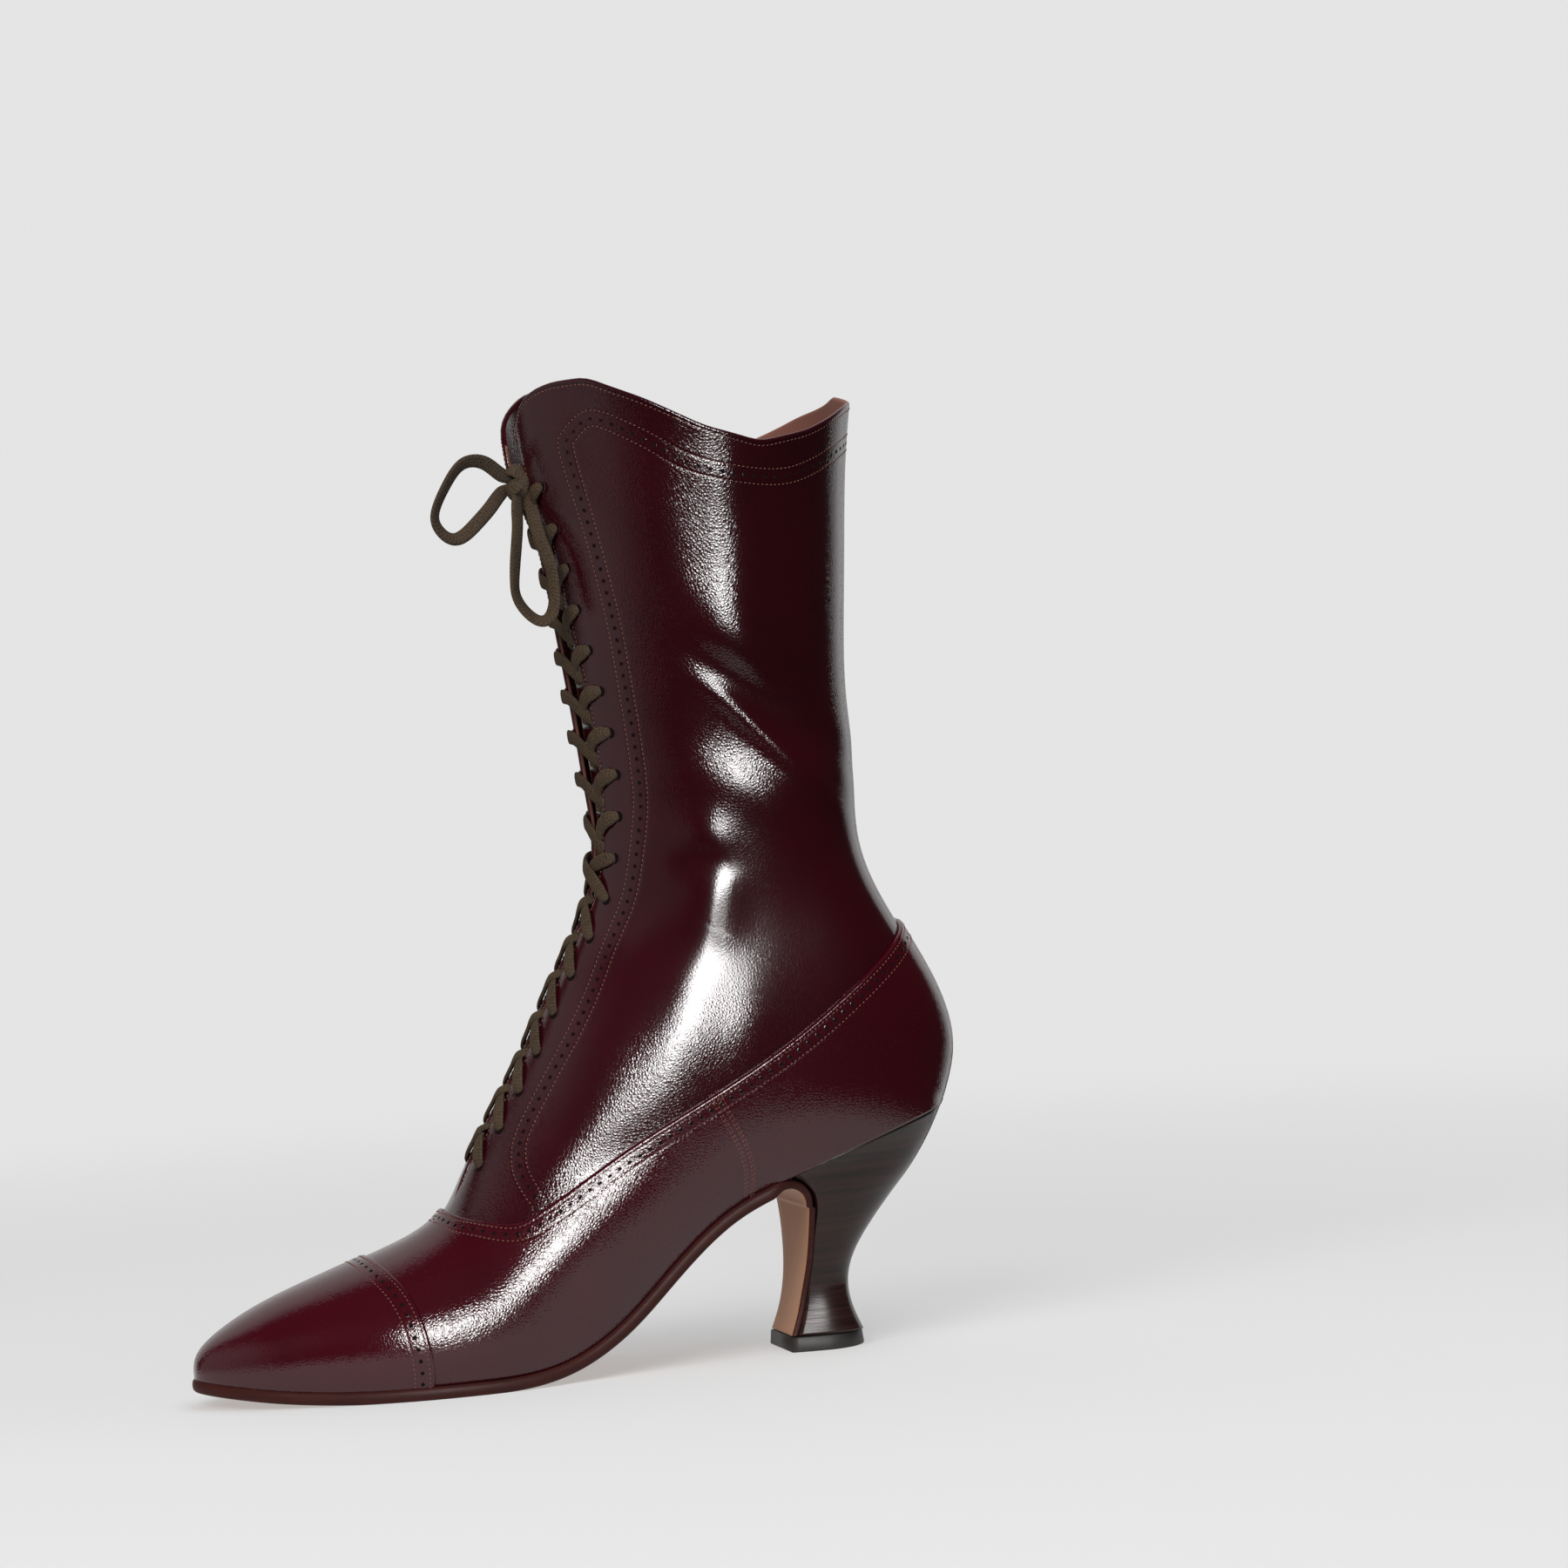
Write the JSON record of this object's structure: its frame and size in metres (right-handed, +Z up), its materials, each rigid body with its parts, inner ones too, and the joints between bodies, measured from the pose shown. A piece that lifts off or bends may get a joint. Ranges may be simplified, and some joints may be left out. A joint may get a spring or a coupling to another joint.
{
  "type": "edwardian lace-up boot",
  "caption": "Burgundy leather Edwardian lace-up boot with a toe cap, pinholed seams, a tall laced front and a curved stacked heel",
  "frame": {"origin": "On the floor, under the middle of the boot's box without its bow", "axes": "+Z up the leg, -X towards the toe, -Y towards the inner side of the foot"},
  "size_m": [0.2458, 0.0872, 0.3038],
  "materials": {
    "burgundy_leather": "polished oxblood leather with a fine grain and a soft gloss",
    "tan_lining": "matt salmon-tan lining leather",
    "sole_leather": "natural tan sole leather with a dyed reddish-brown edge",
    "heel_stack": "dark brown stacked leather with fine level lines",
    "lift_rubber": "near-black matt top lift",
    "lace_cotton": "flat waxed cotton lace, olive brown"
  },
  "bodies": {
    "root": {"upper": "burgundy_leather", "golosh": "burgundy_leather", "toe_cap": "burgundy_leather", "tongue": "burgundy_leather", "insole": "tan_lining", "outsole": "sole_leather", "heel": "heel_stack", "top_lift": "lift_rubber", "lace_01": "lace_cotton", "lace_02": "lace_cotton", "lace_03": "lace_cotton", "lace_04": "lace_cotton", "lace_05": "lace_cotton", "lace_06": "lace_cotton", "lace_07": "lace_cotton", "lace_08": "lace_cotton", "lace_10": "lace_cotton", "lace_11": "lace_cotton", "lace_12": "lace_cotton", "lace_13": "lace_cotton", "lace_14": "lace_cotton", "lace_15": "lace_cotton", "lace_16": "lace_cotton", "lace_17": "lace_cotton", "lace_18": "lace_cotton", "lace_knot": "lace_cotton", "lace_loop_front": "lace_cotton", "lace_loop_hanging": "lace_cotton"}
  },
  "joints": []
}
